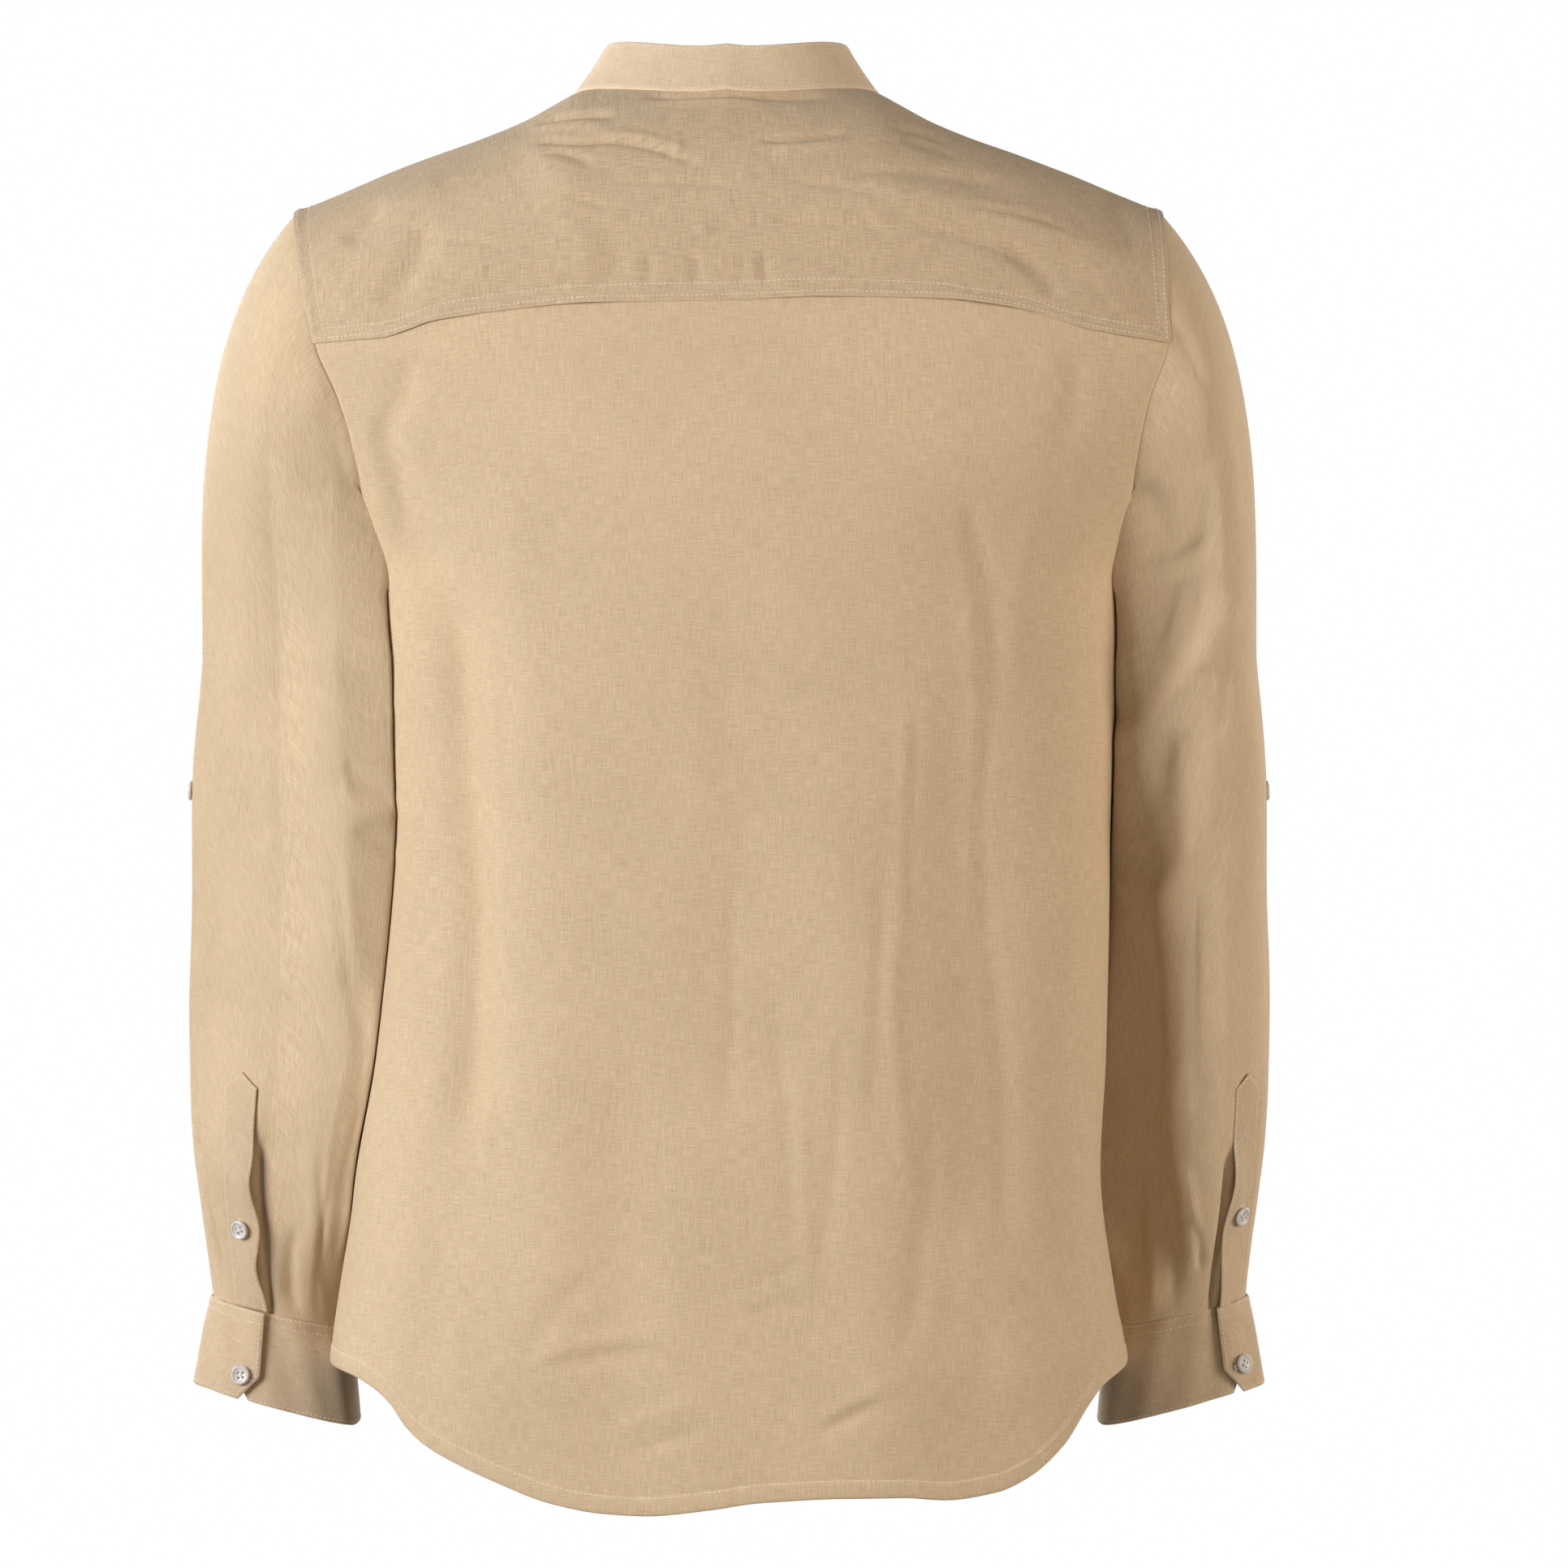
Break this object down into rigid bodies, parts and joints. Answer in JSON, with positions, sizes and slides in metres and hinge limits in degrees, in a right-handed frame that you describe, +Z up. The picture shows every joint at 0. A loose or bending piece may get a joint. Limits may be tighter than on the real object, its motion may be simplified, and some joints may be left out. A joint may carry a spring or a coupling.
{
  "type": "mandarin collar shirt",
  "caption": "Long-sleeved shirt with a mandarin collar, back yoke, buttoned front, curved hem and button cuffs, hollow and filled out as worn.",
  "frame": {"origin": "middle of the neck opening at the height of the collar seam beside the neck, where the wearer holds the shirt up", "axes": "+Z up, +Y out of the wearer's front, +X to the wearer's right"},
  "size_m": [0.5925, 0.2631, 0.7817],
  "materials": {
    "cloth": "plain-weave linen and cotton, matt, sand coloured",
    "button": "clear whitish shirt button, polished"
  },
  "bodies": {
    "root": {"back": "cloth", "yoke": "cloth", "left_front": "cloth", "right_front": "cloth", "button_band": "cloth", "collar": "cloth", "sleeve_left": "cloth", "sleeve_right": "cloth", "sleeve_placket_left": "cloth", "sleeve_placket_right": "cloth", "cuff_left": "cloth", "cuff_right": "cloth", "button_front_1": "button", "button_front_2": "button", "button_front_3": "button", "button_front_4": "button", "button_front_5": "button", "button_front_6": "button", "button_collar": "button", "button_placket_left": "button", "button_placket_right": "button", "button_cuff_left": "button", "button_cuff_right": "button", "button_roll_left": "button", "button_roll_right": "button"}
  },
  "joints": []
}
